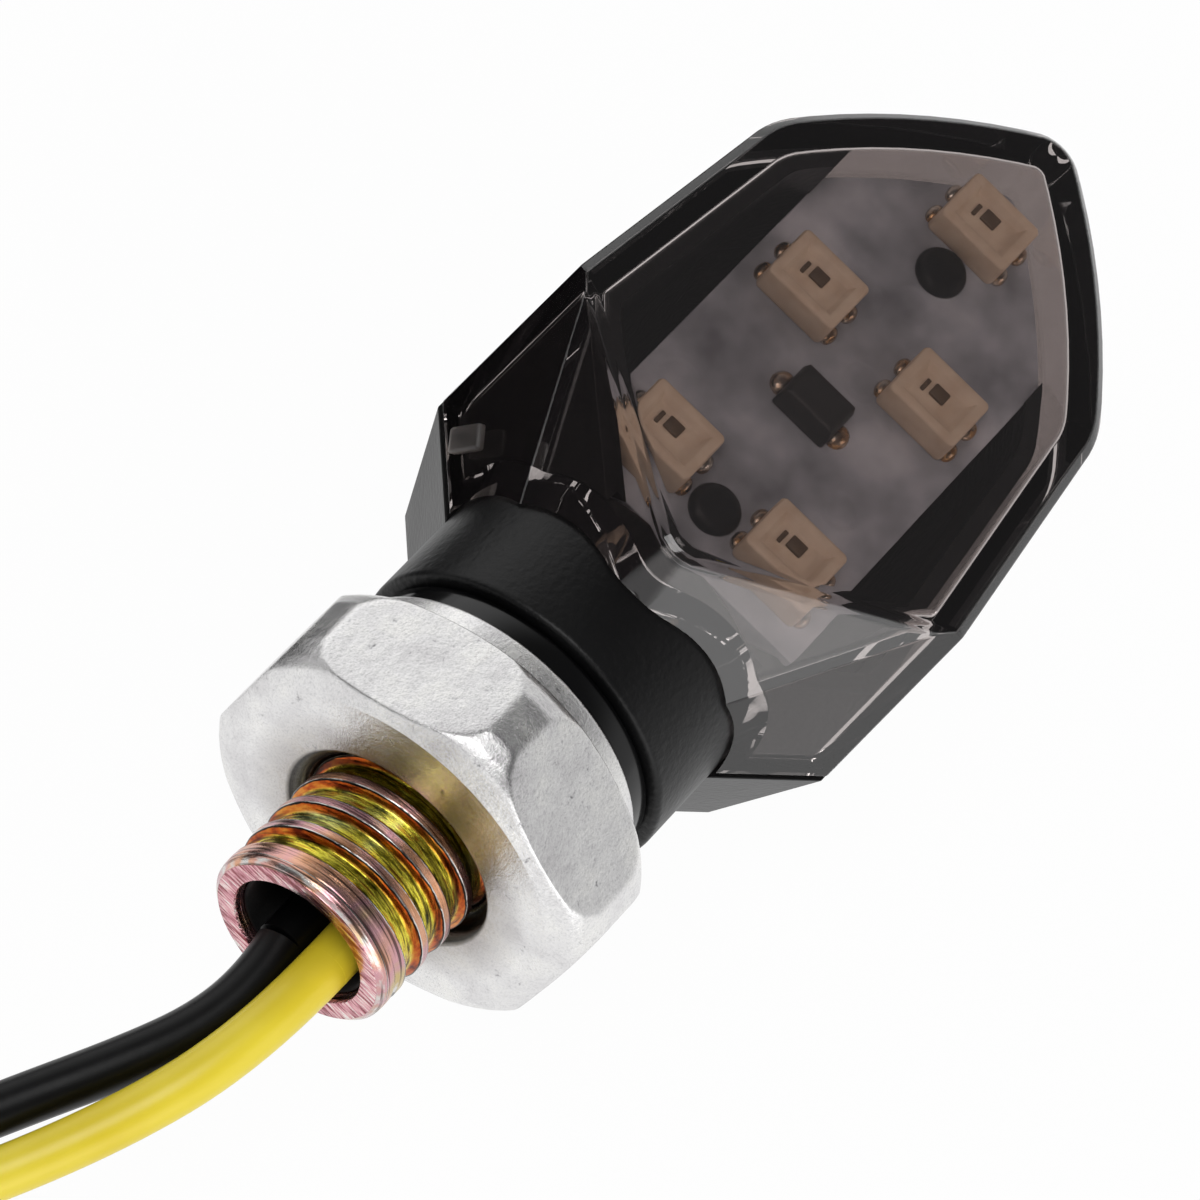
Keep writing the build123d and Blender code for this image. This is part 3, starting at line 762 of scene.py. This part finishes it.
class TURN_SIGNAL_OT_wires(bpy.types.Operator):
    """Two free wires from the stud's mouth, each laid down into a flat coil with a tinned end"""

    bl_idname = "turn_signal.wires"
    bl_label = "Wires"

    def execute(self, context):
        settings = context.scene.turn_signal_wires
        for name, route, skin in (("yellow", YELLOW_ROUTE, yellow_pvc()),
                                  ("black", BLACK_ROUTE, black_pvc())):
            points = with_coil(route, settings)
            wire = self.wire(name + "_wire_run", points, settings.radius)
            finish_with(skin, name + "_insulation", wire)
            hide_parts(name + "_wire", name + "_coil")
            strands = self.strands(name + "_strands", points, settings)
            finish_with(tinned_copper(), "solder", strands)
        return {"FINISHED"}

    def wire(self, name, points, radius):
        """A curve of order three through the points, with a round section."""
        curve = bpy.data.curves.new(name, "CURVE")
        curve.dimensions, curve.bevel_depth, curve.bevel_resolution, curve.use_fill_caps = "3D", 1.0, 8, True
        curve.resolution_u = 10
        spline = curve.splines.new("NURBS")
        spline.points.add(len(points) - 1)
        spline.points.foreach_set("co", np.c_[placed(points), np.ones(len(points))].ravel())
        spline.points.foreach_set("radius", np.full(len(points), radius))
        spline.order_u = 3
        spline.use_endpoint_u = True
        return link(name, curve)

    def strands(self, name, points, settings):
        """Six strands twisted round a straight one: each a circle carried along a helix."""
        end, before = points[-1], points[-2]
        ahead = (end - before) / np.linalg.norm(end - before)
        side = np.cross(ahead, [0, 0, 1])
        t = np.linspace(-1, settings.bare / MM, 22)[:, None]
        round_strand = full_turn(10)
        grids = []
        for number in range(7):
            offset = 0.0 if number == 6 else STRAND_SPACING
            phase = number * pi / 3 + t / STRAND_LAY * 2 * pi
            across = offset * np.cos(phase) + STRAND_RADIUS * np.cos(round_strand)
            up = offset * np.sin(phase) + STRAND_RADIUS * np.sin(round_strand)
            grids.append(end + t[..., None] * ahead + across[..., None] * side + up[..., None] * [0, 0, 1])
        return many(name, grids)


# ---------------------------------------------------------------- stud, nut and washer

# Where the thread runs in and out, and how much of it is crest and flank.
THREAD_START, RUN_IN = 0.85, 0.4
THREAD_END, RUN_OUT = 12.5, 0.8
CREST_SHARE, FLANK_SHARE = 0.26, 0.34
# Two lines turned in the steel near its sawn end, each an x and a share of the depth.
TURNED_LINES, LINE_WIDTH, LINE_DEPTH = ((0.42, 1.0), (0.86, 0.7)), 0.05, 0.12
# The nut's thread: its room round the stud, and how deep it is tapped. The washer hangs to one side.
THREAD_GAP, TAP_DEPTH = 0.06, 0.3
WASHER_HANGS = (0, 0.1, 0)


def thread(x, angle, pitch):
    """Where a point lies on a helix, from 0 in the middle of a crest to 1 in a root, and its flank.

    The flank is -1 on the side of a crest towards the stud's free end, and 1 on the other."""
    phase = np.mod(x / pitch - angle / (2 * pi), 1)
    return np.abs(phase - 0.5) * 2, -np.sin(2 * pi * phase)


def thread_height(place):
    """1 on the crest and 0 in the root, both flat, joined by smooth steps."""
    step = np.clip((place - CREST_SHARE) / FLANK_SHARE, 0, 1)
    return 1 - step * step * (3 - 2 * step)


class TURN_SIGNAL_OT_stud(bpy.types.Operator):
    """Hollow stud with a rolled thread, chamfered at its sawn end"""

    bl_idname = "turn_signal.stud"
    bl_label = "Threaded stud"

    def execute(self, context):
        settings = context.scene.turn_signal_stud
        angle = full_turn(192)
        x = np.arange(0.36, 12.6, 0.06)[:, None]
        place, flank = thread(x, angle, settings.pitch / MM)
        fade = np.clip((x - THREAD_START) / RUN_IN, 0, 1) * np.clip((THREAD_END - x) / RUN_OUT, 0, 1)
        line = sum(depth * np.exp(-((x - at) / LINE_WIDTH) ** 2) for at, depth in TURNED_LINES)
        height = 1 - (1 - thread_height(place)) * fade - LINE_DEPTH * line
        root = settings.root_radius / MM
        # The rest of the profile, round the back and through the bore to the sawn end. Each row holds
        # x, the radius, the place on the thread that its wear looks like, and 1 where it is sawn.
        back_face = STUD_END - 1.6
        plain = np.array([
            (back_face, 4.0, 0, 0), (back_face, 5.6, 0, 0), (STUD_END, 5.6, 0, 0),
            (STUD_END, BORE_RADIUS, 0, 0), (12.0, BORE_RADIUS, 0, 0), (6.0, BORE_RADIUS, 0, 0),
            (0.2, BORE_RADIUS, 0, 0), (0.01, 2.98, 0, 1), (0, 3.0, 0, 1), (0, 3.72, 0, 1),
            (0.02, 3.75, 0.214, 0), (0.24, 3.97, 0.214, 0)])
        plain = plain.T[:, :, None] + 0 * angle
        grid = about_axis(np.concatenate([x + 0 * angle, plain[0]]),
                          np.concatenate([root + (STUD_RADIUS - root) * height, plain[1]]), angle)
        # The turned lines also move the colour into the silver and dark bands: painted shade in their
        # grooves.
        values = {"thread_place": np.concatenate([place * fade + 0.32 * line, plain[2]]),
                  "thread_flank": np.concatenate([flank, 0 * plain[0]]),
                  "sawn_end": np.concatenate([0 * place, plain[3]])}
        stud = surface("threaded_stud", grid, closed_rows=True, values=values)
        finish_with(yellow_chromate(), "stud_steel", stud)
        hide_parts("hollow_stud")
        # A black sleeve inside the bore stands in for the shade deep in it: painted shade.
        lining = turned([(0.5, 2.84), (7.9, 2.84), (7.9, 2.7), (0.5, 2.7), (0.5, 2.83)], 96)
        finish_with(black_sealant(), "seal_rubber", surface("bore_shade_sleeve", lining, closed_rows=True))
        return {"FINISHED"}


class TURN_SIGNAL_OT_nut(bpy.types.Operator):
    """Forged hexagon nut with soft corners, a countersunk mouth and a tapped bore"""

    bl_idname = "turn_signal.nut"
    bl_label = "Hexagon nut"

    def execute(self, context):
        settings = context.scene.turn_signal_stud
        angle = full_turn(420)
        flat, face = settings.across_flats / 2 / MM, settings.face_radius / MM
        mouth = settings.mouth_radius / MM
        thick = NUT_BACK - NUT_FRONT
        from_corner = np.mod(angle - pi / 2 - settings.turn, pi / 3) - pi / 6
        hexagon = flat / np.cos(from_corner)
        # How the forging rounds the corners off: depth under a face, and the radius there.
        soft = eased([(0, face), (0.3, flat + 0.05), (0.46, 8.36), (0.85, 8.64), (1.6, 8.86), (3.0, 8.87)],
                     0.12, 4)
        x = thick * (0.5 - 0.5 * np.cos(np.linspace(0, pi, 84)))[:, None]
        depth = np.minimum(x, thick - x)
        barrel = np.interp(depth, soft[:, 0], soft[:, 1])
        side = smooth_least(hexagon, barrel, 0.07)
        bore = STUD_RADIUS + THREAD_GAP
        tap_x = np.linspace(mouth - bore, thick - mouth + bore, 44)[:, None]
        tap = bore + TAP_DEPTH * (1 - thread_height(thread(tap_x, angle, settings.pitch / MM)[0]))
        # Shares of the way from the mouth to the edge, close together at both.
        share = np.array([0.0, 0.02, 0.2, 0.4, 0.6, 0.8, 0.96, 0.985])[:, None]
        front = mouth + share * (side[:1] - mouth)
        grid_x = [x[::-1] + 0 * angle, 0 * front, tap_x + 0 * angle, thick + 0 * front]
        grid_r = [side[::-1], front[::-1], tap, mouth + share * (side[-1:] - mouth)]
        grid = about_axis(NUT_FRONT + np.concatenate(grid_x), np.concatenate(grid_r), angle)
        nut = surface("forged_nut", grid, "nut", closed_rows=True)
        finish_with(bright_zinc_plate(), "zinc_plate", nut)
        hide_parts("hex_nut")
        return {"FINISHED"}


class TURN_SIGNAL_OT_washer(bpy.types.Operator):
    """Stamped plain washer with rolled edges"""

    bl_idname = "turn_signal.washer"
    bl_label = "Washer"

    def execute(self, context):
        settings = context.scene.turn_signal_stud
        outer, inner = settings.washer_radius / MM, settings.washer_hole / MM
        profile = [(NUT_BACK, (outer + inner) / 2), (NUT_BACK, outer), (SEAT, outer), (SEAT, inner),
                   (NUT_BACK, inner), (NUT_BACK, (outer + inner) / 2 - 0.01)]
        grid = turned(eased(profile, 0.22, 5), 192) + WASHER_HANGS
        washer = surface("plain_washer", grid, "washer", closed_rows=True)
        finish_with(bright_zinc_plate(), "zinc_plate", washer)
        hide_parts("washer")
        return {"FINISHED"}


# ---------------------------------------------------------------- housing and lens

# The lens's left lower facet: its outward normal, and a point on it where its outline begins.
FACET, FOOT = np.array([-1, 1.059, 0.449]), np.array([17.7, 7.1, 0.5])
UPPER_SLOPE, BROKEN_SLOPE = 0.667, 1.6  # how the upper facets lean, and how much more their broken edge
LENS_DRAFT = radians(1.5)
GATE_FROM_FOOT = np.array([0, 1.7, 1.4])
# The shell: its front, the height of its rim, its wall, its taper, and the height of its lower bevel.
SHELL_FRONT, RIM, SHELL_WALL, SHELL_TAPER, SHELL_BEVEL = 17.49, 0.35, 1.8, np.tan(radians(12.5)), 0.9
COLLAR_TOP = (-0.045, -0.2, 1, 7.2 - 0.045 * 46)    # z = 7.2 + 0.045 (x - 46) + 0.2 y
LEADS_WINDOW = ((15, -5.6, -3), (25, 5.6, 2.6))
TIP_WINDOW = ((34, -5.95, BOARD_TOP - 0.3), (50, 5.95, 12))


def fan(first, last, count, centre, radius):
    """Tangents of a circle from one angle a to another: n . p = n . centre + radius, n = (cos a, sin a)."""
    angles = np.linspace(first, last, count)
    normals = np.stack([np.cos(angles), np.sin(angles)], -1)
    return np.c_[normals, normals @ centre + radius]


def side(a, b):
    """The straight side from a to b, as its outward normal and distance."""
    along = (b - a) / np.linalg.norm(b - a)
    normal = np.array([-along[1], along[0]])
    return np.array([*normal, normal @ a])


def outline_supports(settings, flanks=True):
    """The outline as outward normals and distances: straight sides, and curves as fans of tangents.

    The circle at a far corner touches the side along it and, from inside, the long arc to the tip."""
    near = np.array([settings.near_corner, settings.near_half_width]) / MM
    shoulder = np.array([settings.shoulder, settings.shoulder_half_width]) / MM
    far = np.array([settings.far_corner, settings.far_half_width]) / MM
    tip = np.array([settings.tip / MM, 0])
    rise, small, corner = settings.bulge / MM, settings.tip_round / MM, settings.far_round / MM
    chord = tip - far
    radius = (chord @ chord / 4 + rise ** 2) / (2 * rise)
    centre = (tip + far) / 2 - side(far, tip)[:2] * (radius - rise)
    tip_centre = np.array([centre[0] + np.sqrt((radius - small) ** 2 - centre[1] ** 2), 0])
    long_side = side(shoulder, far)
    along = np.array([long_side[1], -long_side[0]])
    inside = shoulder - corner * long_side[:2] - centre
    reach = np.sqrt((inside @ along) ** 2 - inside @ inside + (radius - corner) ** 2) - inside @ along
    corner_centre = centre + inside + reach * along
    directions = (long_side, corner_centre - centre, tip_centre - centre)
    from_side, from_corner, from_tip = (np.arctan2(v[1], v[0]) for v in directions)
    half = np.concatenate([fan(from_corner, from_tip, 9, centre, radius),
                           fan(from_side, from_corner, 6, corner_centre, corner)[1:-1],
                           [side(near, shoulder), long_side] + [side(FOOT[:2], near)] * flanks])
    return np.concatenate([half, half * [1, -1, 1], fan(from_tip, -from_tip, 9, tip_centre, small)[1:-1]])


def unit(planes):
    """The same planes, their normals made one long."""
    planes = np.array(planes, float)
    return planes / np.linalg.norm(planes[..., :3], axis=-1, keepdims=True)


def leaning(supports, slope, height, inset=0.0):
    """Planes through the outline, moved in by inset at that height and further in by slope per rise."""
    distance = supports[:, 2] - inset + slope * height
    return unit(np.c_[supports[:, :2], np.full(len(supports), slope), distance])


def solid(name, planes):
    """The convex solid inside planes, as a piece of the lamp."""
    return link(name, mesh_from(name, *polyhedron(planes)))


def lens_planes(settings, base, depth=None):
    """The lens's planes: walls with a slight draft, the face, the base, and the near facets.

    The two upper facets meet in a rounded crease: a fan of planes at angles a round a leaning line,
    -cos a (x - c) + sin a y + slope (z - face) = r. Without a depth the face has its bevel and the
    upper facets a second one, and with a depth every plane but the base lies that much further in."""
    walls = outline_supports(settings, flanks=False)
    draft = np.tan(LENS_DRAFT)
    slant, crease = np.arctan(settings.facet_run), settings.crease / MM
    centre = settings.ridge / MM + crease / cos(slant)
    a = np.linspace(-slant, slant, 6)
    upper = np.stack([-np.cos(a), np.sin(a), 0 * a + UPPER_SLOPE,
                      crease - np.cos(a) * centre + UPPER_SLOPE * FACE], -1)
    lower = np.array([[*FACET * [1, mirror, 1], FACET @ FOOT] for mirror in (1, -1)])
    planes = [leaning(walls, draft, SEAM), [[0, 0, 1, FACE], [0, 0, -1, -base]], unit([*upper, *lower])]
    if depth is None:
        shoulder = FACE - settings.face_edge / MM
        steeper = UPPER_SLOPE * BROKEN_SLOPE
        broken = upper + [0, 0, steeper, steeper * FACE - settings.ridge_chamfer / MM]
        return np.concatenate([*planes, leaning(walls, 1, shoulder, draft * (shoulder - SEAM)), unit(broken)])
    planes = np.concatenate(planes)
    planes[:, 3] -= depth / MM * (planes[:, 2] > -0.9)
    return planes


def notch_round_stem():
    """A round cutter a little larger than the stem."""
    room = 0.15
    return surface("notch", turned([(5, STEM_RADIUS + room), (STEM_END + room, STEM_RADIUS + room)], 128),
                   caps=True)


def box_planes(low, high):
    """The six planes of a box between two corners."""
    return np.concatenate([np.c_[np.eye(3), high], np.c_[-np.eye(3), -np.array(low, float)]])


class TURN_SIGNAL_OT_lens(bpy.types.Operator):
    """Faceted smoked lens, hollow, with a notch over the stem and the stub of its moulding gate"""

    bl_idname = "turn_signal.lens"
    bl_label = "Lens"

    def execute(self, context):
        settings = context.scene.turn_signal_lens
        outer = lens_planes(settings, SEAM)
        inner = lens_planes(settings, SEAM - 3, settings.wall)
        hollow = bevelled(solid("lens_hollow", inner), 0.26, 4)
        lens = finished(solid("faceted_lens", outer), 0.22, hollow, notch_round_stem())
        finish_with(smoked_polycarbonate(), "smoked_lens", lens)
        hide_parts("lens")
        self.gate_stub()
        return {"FINISHED"}

    def gate_stub(self):
        """A small rough block on the left near facet: a rounded rectangle carried up a short profile."""
        flat = block(1.9, 1.05, 0.15, [(0, -0.4), (0, 0.06), (0.08, 0.14), (0.16, 0.16)], 0, 0, 0)
        normal = unit(FACET)
        along = unit(np.cross(normal, [1, 0, 0]))
        across = np.cross(normal, along)
        spot = FOOT + GATE_FROM_FOOT + [FACET @ GATE_FROM_FOOT, 0, 0]
        grid = spot + flat[..., :1] * along + flat[..., 1:2] * across + flat[..., 2:] * normal
        stub = surface("gate_stub", grid, caps=True)
        finish_with(broken_polycarbonate(), "smoked_lens", stub)


class TURN_SIGNAL_OT_housing(bpy.types.Operator):
    """Rear shell, round stem with its glossy neck, and the melted heads of the posts"""

    bl_idname = "turn_signal.housing"
    bl_label = "Rear housing"

    def execute(self, context):
        settings = context.scene.turn_signal_lens
        supports = np.concatenate([outline_supports(settings), [[-1, 0, -SHELL_FRONT]]])
        bevel = SURFACE + SHELL_BEVEL
        outer = np.concatenate([leaning(supports, -SHELL_TAPER, RIM),
                                leaning(supports, -1, bevel, (RIM - bevel) * SHELL_TAPER),
                                [[0, 0, 1, RIM], [0, 0, -1, -SURFACE]]])
        inner = np.concatenate([leaning(supports, -SHELL_TAPER, RIM, SHELL_WALL), [[-1, 0, 0, -STEM_END]],
                                [[0, 0, 1, RIM + 2], [0, 0, -1, -SURFACE - SHELL_WALL]]])
        shell = finished(solid("housing_shell", outer), 0.3, solid("housing_hollow", inner))
        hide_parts("rear_housing")
        collar = self.collar(settings)
        neck = [(SEAT, 4.1), (SEAT, 6.6), (NECK_END, 6.6), (NECK_END, 4.1)]
        neck = surface("stem_neck", turned(eased(neck, 0.25, 5), 200), closed_rows=True)
        stem = [(NECK_END, 4.1), (NECK_END, STEM_RADIUS), (STEM_END, STEM_RADIUS), (STEM_END, 2.6),
                (17.1, 2.6), (17.1, 5.7), (15.3, 5.7), (15.3, 4.1), (NECK_END, 4.09)]
        stem = surface("stem", turned(eased(stem, 0.3, 5), 200), closed_rows=True)
        head = [(0, -0.05), (0, 0.15), (0.12, 0.36), (0.4, 0.45), (0.8, 0.47)]
        boss = [(0, SURFACE + 1.7 - BOARD_TOP), (0, -1.2)]
        posts = many("board_posts", [block(2.2, 2.2, 1.09, head, x, 0, BOARD_TOP) for x in POSTS]
                     + [block(2.6, 2.6, 1.29, boss, x, 0, BOARD_TOP) for x in POSTS])
        finish_with(moulded_black_abs(), "housing_plastic", shell, collar, stem, posts)
        finish_with(polished_black_abs(), "housing_plastic", neck)
        return {"FINISHED"}

    def collar(self, settings):
        """The shell's rim inside the lens: the lens's hollow made smaller, cut off and bored."""
        outside = np.concatenate([lens_planes(settings, SEAM - 0.6, settings.wall + 0.08 * MM),
                                  [unit(COLLAR_TOP)]])
        bored = lens_planes(settings, SEAM - 2, settings.wall + 0.8 * MM)
        bored[:, 3] += 3 * (bored[:, 2] > 0.99)     # its top is lifted clear of the collar
        return finished(solid("lens_collar", outside), 0.1, solid("collar_bore", bored), notch_round_stem(),
                        solid("leads_window", box_planes(*LEADS_WINDOW)),
                        solid("tip_window", box_planes(*TIP_WINDOW)))


# ---------------------------------------------------------------- circuit board

def ellipsoid(a, b, c, x, y, z):
    """A drop of solder: x = a sin u cos v, y = b sin u sin v, z = c cos u."""
    u = np.linspace(0.08, pi - 0.08, 9)[:, None]
    v = full_turn(16)
    return np.stack([a * np.sin(u) * np.cos(v) + x, b * np.sin(u) * np.sin(v) + y,
                     c * np.cos(u) + z + 0 * v], -1)


class TURN_SIGNAL_OT_board(bpy.types.Operator):
    """LEDs with their chips, the diode, solder and the materials of the board's other pieces"""

    bl_idname = "turn_signal.board"
    bl_label = "Circuit board"

    def execute(self, context):
        settings = context.scene.turn_signal_lens
        leds = ("led_near_left", "led_near_right", "led_middle_left", "led_middle_right", "led_tip")
        fillets = [fillet for name in leds for fillet in self.led(name)] + self.diode()
        finish_with(flowed_solder(), "solder", many("solder_fillets", fillets))
        low, high = lamp_box("circuit_board")
        outline = lens_planes(settings, SEAM, settings.wall + 0.15 * MM)
        trimmed = np.concatenate([outline, box_planes(low, (60, high[1], high[2]))])
        plate = finished(solid("board_plate", trimmed), 0.05)
        finish_with(grey_solder_mask(), "board_laminate", plate)
        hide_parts("circuit_board")
        finish_with(black_epoxy(), "chip_epoxy", "resistor_left", "resistor_right")
        finish_with(flowed_solder(), "solder", "yellow_solder_joint", "black_solder_joint")
        finish_with(black_sealant(), "seal_rubber", "lens_seal", "wire_seal")
        finish_with(yellow_pvc(), "yellow_insulation", "yellow_lead")
        finish_with(black_pvc(), "black_insulation", "black_lead")
        return {"FINISHED"}

    def led(self, name):
        """A cup over its CAD node, with two chips on the gel in it. Returns its four solder fillets."""
        low, high = lamp_box(name)
        x, y = (low[:2] + high[:2]) / 2
        top = high[2] - BOARD_TOP - 0.4
        cup = [(0.02, 0), (0, 0.1), (0, top - 0.12), (0.04, top - 0.03), (0.1, top), (0.42, top),
               (0.5, top - 0.04), (0.62, top - 0.26), (0.7, top - 0.3), (1.0, top - 0.3)]
        body = surface(name + "_cup", block(2.8, 3.5, 0.25, cup, x, y, BOARD_TOP, 40), caps=True)
        finish_with(beige_led_resin(), "led_body", body)
        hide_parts(name)
        gel = BOARD_TOP + top - 0.3
        chip = many(name + "_chip", [
            block(0.62, 0.75, 0.08, [(0, 0), (0, 0.1), (0.04, 0.14)], x + 0.2, y + 0.05, gel, 16),
            block(0.62, 0.2, 0.06, [(0, 0), (0, 0.06), (0.03, 0.08)], x + 0.1, y + 0.72, gel, 16)])
        finish_with(phosphor_gel(), "chip_epoxy", chip)
        return [ellipsoid(0.5, 0.32, 0.3, x + s * 0.7, y + t * 1.8, BOARD_TOP)
                for s in (-1, 1) for t in (-1, 1)]

    def diode(self):
        """A moulded case over its CAD node. Returns its two solder fillets."""
        low, high = lamp_box("diode")
        x, y = (low[:2] + high[:2]) / 2
        case = [(0.05, 0), (0, 0.1), (0, 0.6), (0.14, 1.1), (0.22, 1.2), (0.4, 1.2)]
        diode = surface("diode_case", block(2.0, 2.7, 0.12, case, x, y, BOARD_TOP), caps=True)
        finish_with(black_epoxy(), "chip_epoxy", diode)
        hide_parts("diode")
        return [ellipsoid(0.6, 0.5, 0.35, x, y + s * 1.5, BOARD_TOP) for s in (-1, 1)]


# ---------------------------------------------------------------- panel and registration

OPERATORS = (TURN_SIGNAL_OT_stage, TURN_SIGNAL_OT_wires, TURN_SIGNAL_OT_stud, TURN_SIGNAL_OT_nut,
             TURN_SIGNAL_OT_washer, TURN_SIGNAL_OT_lens, TURN_SIGNAL_OT_housing, TURN_SIGNAL_OT_board)
SETTINGS = {"turn_signal_stage": StageSettings, "turn_signal_lens": LensSettings,
            "turn_signal_stud": StudSettings, "turn_signal_wires": WireSettings}


class TURN_SIGNAL_PT_panel(bpy.types.Panel):
    """The pieces of the turn signal and their settings"""

    bl_label = "Turn Signal"
    bl_idname = "TURN_SIGNAL_PT_panel"
    bl_space_type = "VIEW_3D"
    bl_region_type = "UI"
    bl_category = "Turn Signal"

    def draw(self, context):
        for operator in OPERATORS:
            self.layout.operator(operator.bl_idname)
        for key in SETTINGS:
            box = self.layout.box()
            for name in SETTINGS[key].__annotations__:
                box.prop(getattr(context.scene, key), name)


def register():
    for group in SETTINGS.values():
        bpy.utils.register_class(group)
    for key, group in SETTINGS.items():
        setattr(bpy.types.Scene, key, PointerProperty(type=group))
    for operator in OPERATORS:
        bpy.utils.register_class(operator)
    bpy.utils.register_class(TURN_SIGNAL_PT_panel)


def unregister():
    bpy.utils.unregister_class(TURN_SIGNAL_PT_panel)
    for operator in reversed(OPERATORS):
        bpy.utils.unregister_class(operator)
    for key, group in SETTINGS.items():
        delattr(bpy.types.Scene, key)
        bpy.utils.unregister_class(group)


def main():
    register()
    for operator in OPERATORS:
        group, name = operator.bl_idname.split(".")
        if getattr(getattr(bpy.ops, group), name)() != {"FINISHED"}:
            raise RuntimeError(f"{operator.bl_label} wasn't finished")
    bpy.context.view_layer.update()


if __name__ == "__main__":
    main()
